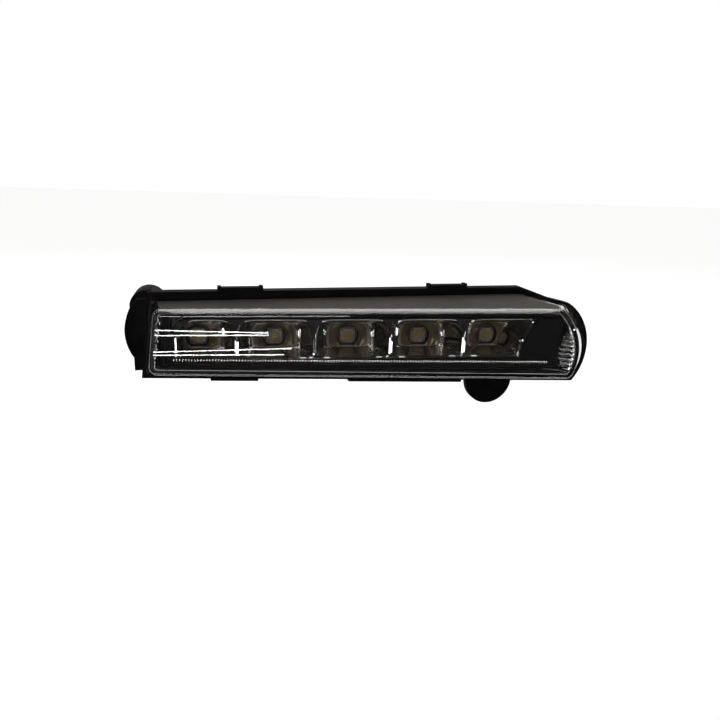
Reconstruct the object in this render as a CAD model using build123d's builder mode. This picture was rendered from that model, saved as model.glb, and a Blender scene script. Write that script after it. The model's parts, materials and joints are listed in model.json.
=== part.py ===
from build123d import *
from math import cos, radians, sin, tan
import os

# Daytime running light: a clear fluted lens over a reflector with five bowls, on a black housing
# that has an ear at one end and a lug below. Sizes are millimetres.
# X runs along the LED row, Y from the lens front to the back of the housing, Z up.
# The origin is the mouth of the screw boss behind the ear, where the lamp is fixed.
# Sizes along X and Z below are counted from the middle LED, depths from the lens front.

# LED row
led_count = 5
led_pitch = 34.0
row_half = led_pitch * (led_count - 1) / 2

# Datum boss behind the ear
ear_boss_end = 24.0
ear_boss_x = -row_half - ear_boss_end
ear_boss_z = 4.0
ear_boss_depth = 32.0

# Rim where lens and housing meet, swept back towards the right end
rim_depth = 20.0
rim_sweep = 5.0
rim_slope = tan(radians(rim_sweep))

# Lens front outline: leaning left end, top, sloping bottom and round right end
lens_wall = 2.5
front_top = 17.8
front_left = -row_half - 16.0
left_lean = 0.114
front_bottom = -12.9
bottom_fall = 0.028
front_arc_x = row_half + 4.0
front_arc_r = 28.5
arc_crown = 27.5
front_arc_z = arc_crown - front_arc_r
lens_edge_r = 2.0
lens_corner_r = 3.6

# Draft of the lens walls, per millimetre of depth; the round end moves outwards and down
top_draft = 0.035
left_draft = 0.36
bottom_draft = 0.33
arc_run = 0.64
arc_drop = 0.225

# Shoulder that slopes from the top wall down to the round end
shoulder_x = row_half + 31.0
shoulder_fall = 0.234
shoulder_draft = 0.077

# Flutes inside the two end walls of the lens
flute_count = 10
flute_half = 0.9
flute_bite = 0.8
flute_margin = 2.0
flute_high_angle = -38.0
flute_low_angle = 18.0
flute_start = 1.0
flute_end = 1.0

# Groove joint between lens and housing
groove_gap = 0.3
groove_depth = 3.0
seal_height = 1.0
tongue_length = groove_depth - seal_height

# Reflector bowls
bowl_front_depth = 6.0
bowl_floor_depth = 21.5
bowl_floor_wall = 2.5
bowl_wall = 1.0
bowl_top = 12.2
bowl_bottom = -5.3
bowl_half = (led_pitch - bowl_wall) / 2
bowl_tapers = (11.0, 18.0, 26.0)
bowl_corner_width = 3.0
bowl_corner_drop = 3.8
first_bowl_left = 8.2
last_bowl_right = 10.2
fin_lean = 0.394
fin_draft = 0.27
reflector_plate = 1.5
reflector_rim = 1.0
led_window_r = 5.6
plate_left = -row_half - first_bowl_left - bowl_wall
plate_right = row_half + last_bowl_right + bowl_wall
plate_top = bowl_top + reflector_rim
plate_bottom = bowl_bottom - reflector_rim

# LED packages
led_size = 7.0
led_height = 1.2
phosphor_r = 2.5
phosphor_height = 0.4

# Boards and heat spreader, stacked behind the reflector
board_depth = bowl_floor_depth + bowl_floor_wall
board_thick = 1.6
board_left = plate_left
board_right = plate_right
board_top = 12.4
board_bottom = -6.0
spreader_thick = 2.0
spreader_fold = 11.0
spreader_depth = board_depth + board_thick
post_depth = spreader_depth + spreader_thick

# Inner bezel
bezel_gap = 0.7
bezel_wall = 0.9
bezel_front_depth = 4.5
bezel_step_depth = 3.3
bezel_step_height = 3.6
bezel_window_gap = 0.3
bezel_inset = lens_wall + bezel_gap

# Housing tub and flange
housing_depth = 46.5
tub_wall = 2.2
tub_back = 2.5
tub_chamfer = 1.2
tub_ledge = 0.9
tub_inset = bezel_inset + tub_ledge
tub_grow = tub_wall - tub_inset
flange_thick = 5.0
flange_edge = 1.5
band_top = 22.2
band_run = row_half + 18.0
band_tip = row_half + 33.0
band_tip_z = 17.0

# Ear, lug, eyelet and screw bosses
ear_top = 19.3
ear_top_run = row_half + 24.2
ear_reach = row_half + 29.9
ear_waist_z = -6.4
ear_foot_x = row_half + 26.7
ear_foot_z = -12.2
lug_x = row_half + 6.0
lug_z = -25.1
lug_r = 12.3
lug_plate = 3.5
lug_boss_depth = 44.0
boss_r = 4.5
boss_hole_r = 2.1
boss_hole_depth = 14.0
eyelet_x = -row_half - 20.2
eyelet_z = 15.4
eyelet_r = 7.2
eyelet_hole_r = 3.0
eyelet_hole_depth = 8.0
eyelet_depth = 27.0

# Snap tabs along the flange
top_tab_places = (-row_half + 19.0, row_half - 20.3)
top_tab_length = 19.6
top_tab_rise = 1.5
tab_bump = 1.6
tab_bump_rise = 0.5
bottom_tab_places = (-row_half + 15.8, row_half - 38.0)
bottom_tab_lengths = (21.3, 58.0)
bottom_tab_drop = 1.2

# Gussets behind the flange and ribs across the back
gusset_places = tuple(led_pitch * (i + 0.5) for i in range(-2, 2))
gusset_thick = 1.6
gusset_run = 12.0
rib_places = tuple(led_pitch * i for i in (-2.1, -1.1, -0.6, 1.1, 1.6, 2.1))
rib_height = 1.2
rib_margin = 2.0

# Square pegs with staked heads: two of the reflector, the others on posts of the housing
stake_places = (-led_pitch * 0.5, led_pitch * 0.5)
board_peg_places = (-led_pitch * 1.5, led_pitch * 1.5)
board_peg_z = 3.0
peg_width = 3.0
peg_gap = 0.2
peg_hole = peg_width + 2 * peg_gap
peg_head = 5.0
peg_head_height = 1.2
peg_post = 7.0

# Driver board
driver_part_gap = 2.4
driver_left = -30.0
driver_right = 44.0
driver_bottom = -5.0
driver_top = 9.0
driver_peg_inset = 5.0
link_width = 10.0
link_height = 4.0
link_z = -2.0
link_slot_gap = 0.5
choke_size = 8.0
choke_height = 5.0
choke_x = -12.0
capacitor_r = 3.0
capacitor_height = 6.0
capacitor_places = (-1.0, 7.0)
chip_width = 5.0
chip_length = 6.0
chip_height = 1.6
chip_x = 33.0
diode_width = 3.0
diode_length = 5.0
diode_height = 2.2
diode_x = 26.5

# Connector socket and breather on the back
socket_x = 17.0
socket_z = 2.0
socket_width = 15.0
socket_height = 10.0
socket_wall = 1.6
socket_length = 12.0
pin_pitch = 5.0
pin_width = 1.6
pin_thick = 0.8
pin_gap = 0.05
pin_reach = 6.0
breather_x = -55.0
breather_z = 3.0
breather_r = 4.0
breather_bore_r = 2.0
breather_length = 4.5
breather_cap_wall = 1.5
breather_cap_gap = 0.1
breather_cap_top = 1.5

os.makedirs("parts", exist_ok=True)

front = Plane(origin=(-ear_boss_x, -ear_boss_depth, -ear_boss_z), x_dir=(1, 0, 0), z_dir=(0, -1, 0))
rim = Plane(
    origin=front.origin + Vector(0, rim_depth, 0),
    x_dir=(cos(radians(rim_sweep)), sin(radians(rim_sweep)), 0),
    z_dir=(sin(radians(rim_sweep)), -cos(radians(rim_sweep)), 0),
)


# Plane parallel to the lens front, a given depth behind it
def at_depth(depth):
    return front.offset(-depth)


# Depth of the rim plane at a place along the row
def rim_depth_at(x):
    return rim_depth + x * rim_slope


# Point at a place along the row, a height and a depth
def spot(x, z, depth):
    return front.from_local_coords(Vector(x, z, -depth))


# Height of the lens bottom line at a place along the row and a depth
def lens_bottom(x, depth):
    return front_bottom - bottom_fall * x - bottom_draft * depth


# Place of the lens left end at a height and a depth
def lens_left(z, depth):
    return front_left + left_lean * z - left_draft * depth


lens_reach = front_arc_x + front_arc_r
rim_top = front_top + top_draft * rim_depth
rim_left = lens_left(rim_top, rim_depth_at(front_left))

# Flat walls of the lens as planes that face inwards: top, left end and bottom
lens_walls = (
    Plane(origin=spot(0, front_top, 0), z_dir=(0, top_draft, -1)),
    Plane(origin=spot(front_left, 0, 0), z_dir=(1, left_draft, -left_lean)),
    Plane(origin=spot(0, front_bottom, 0), z_dir=(bottom_fall, bottom_draft, 1)),
)


lens_shoulder = Plane(
    origin=spot(shoulder_x, front_top, 0),
    z_dir=(-shoulder_fall, -shoulder_draft, -1),
)


# Height of the lens bottom line at the rim
def rim_bottom_at(x):
    return lens_bottom(x, rim_depth_at(x))


# Cylinder axis of the round end, slanted outwards and down towards the rim
arc_axis = Vector(arc_run, 1, -arc_drop)
arc_plane = Plane(origin=spot(front_arc_x, front_arc_z, 0), x_dir=(1, 0, 0), z_dir=arc_axis)


# Block inside the walls and the round end moved outwards by grow, from a depth back to the rim
def lens_box(depth, grow):
    arc_r = front_arc_r + grow
    far = 4 * row_half
    with BuildPart() as block:
        with BuildSketch(arc_plane):
            with BuildLine():
                Polyline((0, arc_r), (-far, arc_r), (-far, -arc_r), (0, -arc_r))
                ThreePointArc((0, -arc_r), (arc_r, 0), (0, arc_r))
            make_face()
        extrude(amount=far, both=True)
        split(bisect_by=at_depth(depth), keep=Keep.BOTTOM)
        split(bisect_by=rim, keep=Keep.TOP)
        for wall in lens_walls:
            split(bisect_by=wall.offset(-grow), keep=Keep.TOP)
    return block.part


# The same block with its shoulder
def lens_block(depth, grow):
    with BuildPart() as block:
        add(lens_box(depth, grow))
        split(bisect_by=lens_shoulder.offset(-grow), keep=Keep.TOP)
    return block.part


# Outline of a face of the lens block on a plane, with an arc for its round end
def arc_outline(face, plane):
    edges = plane.to_local_coords(face).edges()
    lines = edges.filter_by(GeomType.LINE)
    end = (edges - lines).sort_by(SortBy.LENGTH)[-1]
    with BuildSketch() as shape:
        with BuildLine():
            add(lines)
            ThreePointArc(end @ 0, end @ 0.5, end @ 1)
        make_face()
    return shape.sketch


# Lens front outline moved outwards by grow, drawn at a depth
def outline(depth, grow):
    with BuildSketch(at_depth(depth)) as shape:
        add(arc_outline(lens_block(0, grow).faces().filter_by(front)[0], front))
    return shape.sketch


# Lens outline at the rim moved outwards by grow, in the coordinates of the rim plane
def rim_outline(grow):
    return arc_outline(lens_block(0, grow).faces().filter_by(rim)[0], rim)


# Ring that follows the rim, between two growths
def rim_ring(plane, outer_grow, inner_grow):
    with BuildSketch(plane) as ring:
        add(rim_outline(outer_grow))
        add(rim_outline(inner_grow), mode=Mode.SUBTRACT)
    return ring.sketch


# Corners of a bowl opening moved outwards by grow, from the lower left round the top to the lower right
def bowl_corners(left, right, grow):
    return (
        Vector(left - grow, bowl_bottom - grow),
        Vector(left - grow, bowl_top - bowl_corner_drop),
        Vector(left + bowl_corner_width - grow, bowl_top + grow),
        Vector(right - bowl_corner_width + grow, bowl_top + grow),
        Vector(right + grow, bowl_top - bowl_corner_drop),
        Vector(right + grow, bowl_bottom - grow),
    )


# Fin at the right end of the last bowl as a plane that faces the bowl
bowl_fin = Plane(
    origin=spot(row_half + last_bowl_right, bowl_bottom, bowl_front_depth),
    z_dir=(-1, -fin_draft, fin_lean),
)


# One bowl moved outwards by grow, with walls that narrow in levels from its opening to a floor depth
def bowl(index, floor_depth, grow):
    x = index * led_pitch - row_half
    corners = bowl_corners(x - bowl_half, x + bowl_half, grow)
    level = (floor_depth - bowl_front_depth) / len(bowl_tapers)
    with BuildPart() as body:
        with BuildSketch(at_depth(bowl_front_depth)):
            Polygon(*corners, align=None)
        extrude(amount=bowl_front_depth - floor_depth)
        for start, end in zip(corners, corners[1:]):
            side = (end - start).normalized()
            inwards = Vector(side.Y, -side.X)
            inset = 0.0
            for step, taper in enumerate(bowl_tapers):
                foot = start + inwards * inset
                slope = tan(radians(taper))
                wall = Plane(
                    origin=spot(foot.X, foot.Y, bowl_front_depth + step * level),
                    z_dir=(inwards.X, -slope, inwards.Y),
                )
                split(bisect_by=wall, keep=Keep.TOP)
                inset += level * slope
        if index == 0:
            left_wall = Plane(origin=spot(x - first_bowl_left - grow, 0, 0), z_dir=(1, 0, 0))
            split(bisect_by=left_wall, keep=Keep.TOP)
        if index == led_count - 1:
            split(bisect_by=bowl_fin.offset(-grow), keep=Keep.TOP)
    return body.part


# Line of one flute along the inside of an end wall, from near the lens front to near the rim
def flute_line(index, right_end):
    share = index / (flute_count - 1)
    if right_end:
        angle = radians(flute_high_angle + (flute_low_angle - flute_high_angle) * share)
        reach = front_arc_r - lens_wall
        foot = arc_plane.from_local_coords(Vector(reach * cos(angle), reach * sin(angle), 0))
        way = arc_axis
    else:
        high = front_top - lens_wall - flute_margin
        low = front_bottom + lens_wall + flute_margin
        z = high + (low - high) * share
        foot = spot(lens_left(z, 0) + lens_wall, z, 0)
        way = Vector(-left_draft, 1, 0)
    start = foot + way * (front.origin.Y + lens_wall + flute_start - foot.Y)
    end_plane = rim.offset(flute_end)
    end = start + way * ((end_plane.origin - start).dot(rim.z_dir) / way.dot(rim.z_dir))
    return start, end


# Outer lens: shell with a rounded front edge, fluted end walls and a tongue behind the rim
with BuildPart() as outer_lens:
    add(lens_box(0, 0))
    by_depth = outer_lens.faces().sort_by(Axis.Y)
    corners = outer_lens.edges() - by_depth[0].edges() - by_depth[-1].edges()
    fillet(corners, radius=lens_corner_r)
    fillet(outer_lens.faces().sort_by(Axis.Y)[0].edges(), radius=lens_edge_r)
    split(bisect_by=lens_shoulder, keep=Keep.TOP)
    add(lens_block(lens_wall, -lens_wall), mode=Mode.SUBTRACT)
    for right_end in (False, True):
        for index in range(flute_count):
            start, end = flute_line(index, right_end)
            outwards = start - arc_plane.origin if right_end else Vector(1, 0, 0)
            with BuildSketch(Plane(origin=start, x_dir=outwards, z_dir=end - start)):
                Polygon((flute_bite, 0), (0, flute_half), (-flute_bite, 0), (0, -flute_half))
            extrude(amount=(end - start).length, mode=Mode.SUBTRACT)
    extrude(rim_ring(rim, 0, -lens_wall), amount=-tongue_length)
outer_lens.part.label = "outer_lens"
export_step(outer_lens.part, "parts/outer_lens.step")

# Lens seal: bead at the bottom of the groove
with BuildPart() as lens_seal:
    extrude(rim_ring(rim.offset(-tongue_length), 0, -lens_wall), amount=-seal_height)
lens_seal.part.label = "lens_seal"
export_step(lens_seal.part, "parts/lens_seal.step")

# Reflector: five thin bowls on a front plate, with flared LED windows and two stakes
with BuildPart() as reflector:
    for index in range(led_count):
        add(bowl(index, board_depth, bowl_wall))
    with BuildSketch(at_depth(bowl_front_depth)):
        with Locations(((plate_left + plate_right) / 2, (plate_top + plate_bottom) / 2)):
            Rectangle(plate_right - plate_left, plate_top - plate_bottom)
    extrude(amount=-reflector_plate)
    for index in range(led_count):
        add(bowl(index, bowl_floor_depth, 0), mode=Mode.SUBTRACT)
    with BuildSketch(at_depth(board_depth)):
        with GridLocations(led_pitch, 0, led_count, 1):
            Circle(led_window_r)
    extrude(amount=bowl_floor_wall, mode=Mode.SUBTRACT)
    with BuildSketch(at_depth(bowl_front_depth + reflector_plate)):
        with Locations(*[(x, board_peg_z) for x in stake_places]):
            Rectangle(peg_width, peg_width)
    extrude(amount=-(post_depth - bowl_front_depth - reflector_plate))
    with BuildSketch(at_depth(post_depth)):
        with Locations(*[(x, board_peg_z) for x in stake_places]):
            Rectangle(peg_head, peg_head)
    extrude(amount=-peg_head_height)
reflector.part.label = "reflector"
export_step(reflector.part, "parts/reflector.step")

# LED packages, each with a raised disc of phosphor on its face
for index in range(led_count):
    with BuildPart() as led:
        with BuildSketch(at_depth(board_depth)):
            with Locations((index * led_pitch - row_half, 0)):
                Rectangle(led_size, led_size)
        extrude(amount=led_height)
    led.part.label = f"led_{index + 1}"
    export_step(led.part, f"parts/led_{index + 1}.step")
    with BuildPart() as phosphor:
        with BuildSketch(at_depth(board_depth - led_height)):
            with Locations((index * led_pitch - row_half, 0)):
                Circle(phosphor_r)
        extrude(amount=phosphor_height)
    phosphor.part.label = f"led_phosphor_{index + 1}"
    export_step(phosphor.part, f"parts/led_phosphor_{index + 1}.step")


# Outline of the LED board and of the spreader behind it
def board_face(depth):
    with BuildSketch(at_depth(depth)) as face:
        with Locations(((board_left + board_right) / 2, (board_top + board_bottom) / 2)):
            Rectangle(board_right - board_left, board_top - board_bottom)
        with Locations(*[(x, board_peg_z) for x in board_peg_places + stake_places]):
            Rectangle(peg_hole, peg_hole, mode=Mode.SUBTRACT)
    return face.sketch


# LED board
with BuildPart() as led_board:
    extrude(board_face(board_depth), amount=-board_thick)
led_board.part.label = "led_board"
export_step(led_board.part, "parts/led_board.step")

# Heat spreader: sheet behind the LED board, folded back along its top, with a slot for the link
with BuildPart() as heat_spreader:
    extrude(board_face(spreader_depth), amount=-spreader_thick)
    with BuildSketch(at_depth(spreader_depth)):
        with Locations(((board_left + board_right) / 2, board_top - spreader_thick / 2)):
            Rectangle(board_right - board_left, spreader_thick)
    extrude(amount=-spreader_fold)
    with BuildSketch(at_depth(spreader_depth)):
        with Locations((0, link_z)):
            Rectangle(link_width + 2 * link_slot_gap, link_height + 2 * link_slot_gap)
    extrude(amount=-spreader_thick, mode=Mode.SUBTRACT)
    fold_edge = heat_spreader.edges().filter_by(Axis.X).group_by(Axis.Z)[-1].sort_by(Axis.Y)[0]
    fillet(fold_edge, radius=spreader_thick / 2)
heat_spreader.part.label = "heat_spreader"
export_step(heat_spreader.part, "parts/heat_spreader.step")

# Driver board on its two pegs
driver_back = housing_depth - tub_back - driver_part_gap - max(capacitor_height, choke_height)
driver_depth = driver_back - board_thick
driver_mid_z = (driver_bottom + driver_top) / 2
driver_peg_places = (driver_left + driver_peg_inset, driver_right - driver_peg_inset)
with BuildPart() as driver_board:
    with BuildSketch(at_depth(driver_depth)):
        with Locations(((driver_left + driver_right) / 2, driver_mid_z)):
            Rectangle(driver_right - driver_left, driver_top - driver_bottom)
        with Locations(*[(x, driver_mid_z) for x in driver_peg_places]):
            Rectangle(peg_hole, peg_hole, mode=Mode.SUBTRACT)
    extrude(amount=-board_thick)
driver_board.part.label = "driver_board"
export_step(driver_board.part, "parts/driver_board.step")

# Link between the two boards
with BuildPart() as board_link:
    with BuildSketch(at_depth(spreader_depth)):
        with Locations((0, link_z)):
            Rectangle(link_width, link_height)
    extrude(amount=-(driver_depth - spreader_depth))
board_link.part.label = "board_link"
export_step(board_link.part, "parts/board_link.step")

# Parts on the back of the driver board
with BuildPart() as choke:
    with BuildSketch(at_depth(driver_back)):
        with Locations((choke_x, driver_mid_z)):
            Rectangle(choke_size, choke_size)
    extrude(amount=-choke_height)
choke.part.label = "choke"
export_step(choke.part, "parts/choke.step")

with BuildPart() as capacitors:
    with BuildSketch(at_depth(driver_back)):
        with Locations(*[(x, driver_mid_z) for x in capacitor_places]):
            Circle(capacitor_r)
    extrude(amount=-capacitor_height)
capacitors.part.label = "capacitors"
export_step(capacitors.part, "parts/capacitors.step")

with BuildPart() as driver_chip:
    with BuildSketch(at_depth(driver_back)):
        with Locations((chip_x, driver_mid_z)):
            Rectangle(chip_width, chip_length)
    extrude(amount=-chip_height)
driver_chip.part.label = "driver_chip"
export_step(driver_chip.part, "parts/driver_chip.step")

with BuildPart() as diode:
    with BuildSketch(at_depth(driver_back)):
        with Locations((diode_x, driver_mid_z)):
            Rectangle(diode_width, diode_length)
    extrude(amount=-diode_height)
diode.part.label = "diode"
export_step(diode.part, "parts/diode.step")


# Straight block behind the lens front outline moved outwards by grow, under the shoulder
def bezel_block(depth, grow):
    with BuildPart() as block:
        extrude(outline(depth, grow), amount=-housing_depth)
        split(bisect_by=lens_shoulder.offset(-grow), keep=Keep.TOP)
    return block.part


# Inner bezel: hollow mask with a window for the bowls and a step along its lower edge
with BuildPart() as inner_bezel:
    add(bezel_block(bezel_step_depth, -bezel_inset))
    add(bezel_block(bowl_front_depth, -bezel_inset - bezel_wall), mode=Mode.SUBTRACT)
    split(bisect_by=rim, keep=Keep.TOP)
    with BuildSketch(at_depth(bezel_step_depth)):
        with BuildLine():
            Polyline(
                (-lens_reach, lens_bottom(-lens_reach, 0) + bezel_inset + bezel_step_height),
                (lens_reach, lens_bottom(lens_reach, 0) + bezel_inset + bezel_step_height),
                (lens_reach, front_top),
                (-lens_reach, front_top),
                close=True,
            )
        make_face()
    extrude(amount=-(bezel_front_depth - bezel_step_depth), mode=Mode.SUBTRACT)
    with BuildSketch(at_depth(bezel_front_depth)):
        window = bowl_corners(-row_half - first_bowl_left, row_half + bowl_half, bezel_window_gap)
        Polygon(*window, align=None)
    extrude(amount=bezel_front_depth - bowl_front_depth, mode=Mode.SUBTRACT)
inner_bezel.part.label = "inner_bezel"
export_step(inner_bezel.part, "parts/inner_bezel.step")


# Round boss or hole on the back of the housing, from its mouth towards the front
def mouth_disc(x, z, depth, radius):
    with BuildSketch(at_depth(depth)) as disc:
        with Locations((x, z)):
            Circle(radius)
    return disc.sketch


# Length from a mouth at the back to the middle of the flange
def flange_reach(x, depth):
    return depth - rim_depth_at(x) - flange_thick / 2


# Rear housing: tub, swept flange with the lens groove, ear, lug, bosses, tabs, socket and posts
with BuildPart() as rear_housing:
    extrude(outline(0, tub_grow), amount=-housing_depth)
    chamfer(rear_housing.faces().sort_by(Axis.Y)[-1].edges(), length=tub_chamfer)
    split(bisect_by=rim, keep=Keep.BOTTOM)
    with BuildSketch(rim):
        add(rim_outline(flange_edge))
        with BuildLine():
            Polyline(
                (rim_left - flange_edge, rim_top - lens_wall),
                (rim_left - flange_edge, band_top),
                (band_run, band_top),
                (band_tip, band_tip_z),
                (band_tip, rim_top - lens_wall),
                close=True,
            )
        make_face()
        with BuildLine():
            Polyline(
                (-ear_foot_x, ear_waist_z),
                (-ear_foot_x, ear_foot_z),
                (rim_left, ear_foot_z),
                (rim_left, ear_top),
                (-ear_top_run, ear_top),
            )
            ThreePointArc((-ear_top_run, ear_top), (-ear_reach, ear_boss_z), (-ear_foot_x, ear_waist_z))
        make_face()
        for place, length in zip(bottom_tab_places, bottom_tab_lengths):
            with BuildLine():
                Polyline(
                    (place - length / 2, rim_bottom_at(place - length / 2)),
                    (place - length / 2, rim_bottom_at(place - length / 2) - flange_edge - bottom_tab_drop),
                    (place + length / 2, rim_bottom_at(place + length / 2) - flange_edge - bottom_tab_drop),
                    (place + length / 2, rim_bottom_at(place + length / 2)),
                    close=True,
                )
            make_face()
    extrude(amount=-flange_thick)
    with BuildSketch(rim):
        for place in top_tab_places:
            with Locations((place, band_top + top_tab_rise / 2)):
                Rectangle(top_tab_length, top_tab_rise)
            for side in (-1, 1):
                with Locations((place + side * (top_tab_length - tab_bump) / 2, band_top + top_tab_rise)):
                    Rectangle(tab_bump, 2 * tab_bump_rise)
        with Locations((lug_x, lug_z)):
            Circle(lug_r)
        with Locations((lug_x, (lug_z + rim_bottom_at(lug_x)) / 2)):
            Rectangle(2 * lug_r, rim_bottom_at(lug_x) - lug_z)
    extrude(amount=-lug_plate)
    for x in gusset_places:
        start = rim_depth_at(x) + flange_thick / 2
        gusset_plane = Plane(origin=spot(x - gusset_thick / 2, 0, start), x_dir=(0, 1, 0), z_dir=(1, 0, 0))
        for tub_side, rim_side in (
            (front_top - tub_inset, rim_top),
            (lens_bottom(x, 0) + tub_inset, rim_bottom_at(x)),
        ):
            with BuildSketch(gusset_plane):
                with BuildLine():
                    Polyline((0, tub_side), (0, rim_side), (gusset_run, tub_side), close=True)
                make_face()
            extrude(amount=gusset_thick)
    rib_top = front_top + tub_grow - tub_chamfer - rib_margin
    rib_bottom = front_bottom - tub_grow + tub_chamfer + rib_margin
    with BuildSketch(at_depth(housing_depth)):
        with Locations(*[(x, (rib_top + rib_bottom) / 2) for x in rib_places]):
            Rectangle(gusset_thick, rib_top - rib_bottom)
    extrude(amount=-rib_height)
    for x, z, depth, radius in (
        (ear_boss_x, ear_boss_z, ear_boss_depth, boss_r),
        (lug_x, lug_z, lug_boss_depth, boss_r),
        (eyelet_x, eyelet_z, eyelet_depth, eyelet_r),
    ):
        extrude(mouth_disc(x, z, depth, radius), amount=flange_reach(x, depth))
    extrude(rim_ring(rim, groove_gap, -lens_wall - groove_gap), amount=-groove_depth, mode=Mode.SUBTRACT)
    extrude(outline(0, -tub_inset), amount=tub_back - housing_depth, mode=Mode.SUBTRACT)
    for x, z, depth, radius, length in (
        (ear_boss_x, ear_boss_z, ear_boss_depth, boss_hole_r, boss_hole_depth),
        (lug_x, lug_z, lug_boss_depth, boss_hole_r, boss_hole_depth),
        (eyelet_x, eyelet_z, eyelet_depth, eyelet_hole_r, eyelet_hole_depth),
    ):
        extrude(mouth_disc(x, z, depth, radius), amount=length, mode=Mode.SUBTRACT)
    inner_back = housing_depth - tub_back
    for places, z, face, seat in (
        (board_peg_places, board_peg_z, board_depth, post_depth),
        (driver_peg_places, driver_mid_z, driver_depth, driver_back),
    ):
        for width, near, far in (
            (peg_post, seat, inner_back),
            (peg_width, face, seat),
            (peg_head, face - peg_head_height, face),
        ):
            with BuildSketch(at_depth(far)):
                with Locations(*[(x, z) for x in places]):
                    Rectangle(width, width)
            extrude(amount=far - near)
    with BuildSketch(at_depth(housing_depth)):
        with Locations((socket_x, socket_z)):
            RectangleRounded(socket_width + 2 * socket_wall, socket_height + 2 * socket_wall, socket_wall)
            Rectangle(socket_width, socket_height, mode=Mode.SUBTRACT)
    extrude(amount=-socket_length)
    with BuildSketch(at_depth(housing_depth)):
        with Locations((socket_x, socket_z)):
            with GridLocations(pin_pitch, 0, 2, 1):
                Rectangle(pin_width + 2 * pin_gap, pin_thick + 2 * pin_gap)
    extrude(amount=tub_back, mode=Mode.SUBTRACT)
    with BuildSketch(at_depth(housing_depth)):
        with Locations((breather_x, breather_z)):
            Circle(breather_r)
    extrude(amount=-breather_length)
    with BuildSketch(at_depth(housing_depth + breather_length)):
        with Locations((breather_x, breather_z)):
            Circle(breather_bore_r)
    extrude(amount=breather_length + tub_back, mode=Mode.SUBTRACT)
rear_housing.part.label = "rear_housing"
export_step(rear_housing.part, "parts/rear_housing.step")


# Terminal pins, from the driver board through the back wall into the socket
with BuildPart() as terminal_pins:
    with BuildSketch(at_depth(driver_back)):
        with Locations((socket_x, socket_z)):
            with GridLocations(pin_pitch, 0, 2, 1):
                Rectangle(pin_width, pin_thick)
    extrude(amount=-(housing_depth - driver_back + pin_reach))
terminal_pins.part.label = "terminal_pins"
export_step(terminal_pins.part, "parts/terminal_pins.step")

# Breather cap over the nozzle on the back
with BuildPart() as breather_cap:
    with BuildSketch(at_depth(housing_depth)):
        with Locations((breather_x, breather_z)):
            Circle(breather_r + breather_cap_gap + breather_cap_wall)
    extrude(amount=-(breather_length + breather_cap_top))
    with BuildSketch(at_depth(housing_depth)):
        with Locations((breather_x, breather_z)):
            Circle(breather_r + breather_cap_gap)
    extrude(amount=-breather_length, mode=Mode.SUBTRACT)
breather_cap.part.label = "breather_cap"
export_step(breather_cap.part, "parts/breather_cap.step")
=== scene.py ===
import json
import math
import bmesh
import bpy
import numpy as np
from mathutils import Matrix, Vector


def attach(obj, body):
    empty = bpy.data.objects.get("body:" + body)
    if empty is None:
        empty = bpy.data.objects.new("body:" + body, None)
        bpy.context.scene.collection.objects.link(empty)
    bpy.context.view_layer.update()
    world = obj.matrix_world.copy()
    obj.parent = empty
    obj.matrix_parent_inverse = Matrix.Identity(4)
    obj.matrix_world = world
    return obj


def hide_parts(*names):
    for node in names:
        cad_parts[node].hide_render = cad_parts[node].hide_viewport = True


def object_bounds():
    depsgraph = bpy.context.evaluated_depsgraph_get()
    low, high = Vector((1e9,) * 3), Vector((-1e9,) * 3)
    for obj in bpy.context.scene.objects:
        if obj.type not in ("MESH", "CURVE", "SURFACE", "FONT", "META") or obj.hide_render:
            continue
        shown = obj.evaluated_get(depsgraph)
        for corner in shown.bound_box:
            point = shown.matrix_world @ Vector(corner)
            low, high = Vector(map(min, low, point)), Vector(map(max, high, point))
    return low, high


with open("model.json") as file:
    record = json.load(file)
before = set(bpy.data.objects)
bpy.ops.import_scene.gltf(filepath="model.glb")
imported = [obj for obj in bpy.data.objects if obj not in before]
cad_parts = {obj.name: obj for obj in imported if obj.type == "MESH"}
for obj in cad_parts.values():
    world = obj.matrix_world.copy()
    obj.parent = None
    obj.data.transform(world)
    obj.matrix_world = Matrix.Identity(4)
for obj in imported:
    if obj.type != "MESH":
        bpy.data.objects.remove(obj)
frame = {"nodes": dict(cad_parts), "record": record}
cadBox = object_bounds()
nodes = frame["nodes"]
print("frame loaded:", len(nodes), "nodes")

# lamp sizes in this file are millimetres: x along the LED row from the middle LED,
# z up from it, depth back from the lens front
lampShift = {"x": 92.0, "z": -4.0, "depth": -32.0}
perMetre = 1000.0


def toFrame(x, z, depth):
    spots = np.broadcast_arrays(x + lampShift["x"], depth + lampShift["depth"], z + lampShift["z"])
    return np.stack(spots, axis=-1) / perMetre


# ring of points round a place; the radius is one number or one per angle
def circle(x, z, radius, angles, depth):
    return toFrame(x + radius * np.cos(angles), z + radius * np.sin(angles), depth)


def addObject(name, data):
    thing = bpy.data.objects.new(name, data)
    bpy.context.scene.collection.objects.link(thing)
    return thing


def aimAt(place, target):
    return (Vector(target) - Vector(place)).to_track_quat("-Z", "Y").to_matrix().to_4x4()


# camera
view = {"place": (0.04370, -0.30170, 0.08023), "target": (0.09431, -0.03200, -0.00894),
        "lens": 32.882, "sensor": 36.0, "clip": 0.01, "roll": 2.515}
cameraData = bpy.data.cameras.new("photoCamera")
cameraData.lens = view["lens"]
cameraData.sensor_width = view["sensor"]
cameraData.clip_start = view["clip"]
camera = addObject("photoCamera", cameraData)
roll = Matrix.Rotation(math.radians(view["roll"]), 4, "Z")
camera.matrix_world = Matrix.Translation(view["place"]) @ aimAt(view["place"], view["target"]) @ roll
bpy.context.scene.camera = camera
bpy.context.scene.view_settings.view_transform = "Standard"


# materials
def startFinish(name):
    mat = bpy.data.materials.new(name)
    mat.use_nodes = True
    return mat, mat.node_tree, mat.node_tree.nodes["Principled BSDF"]


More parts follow.
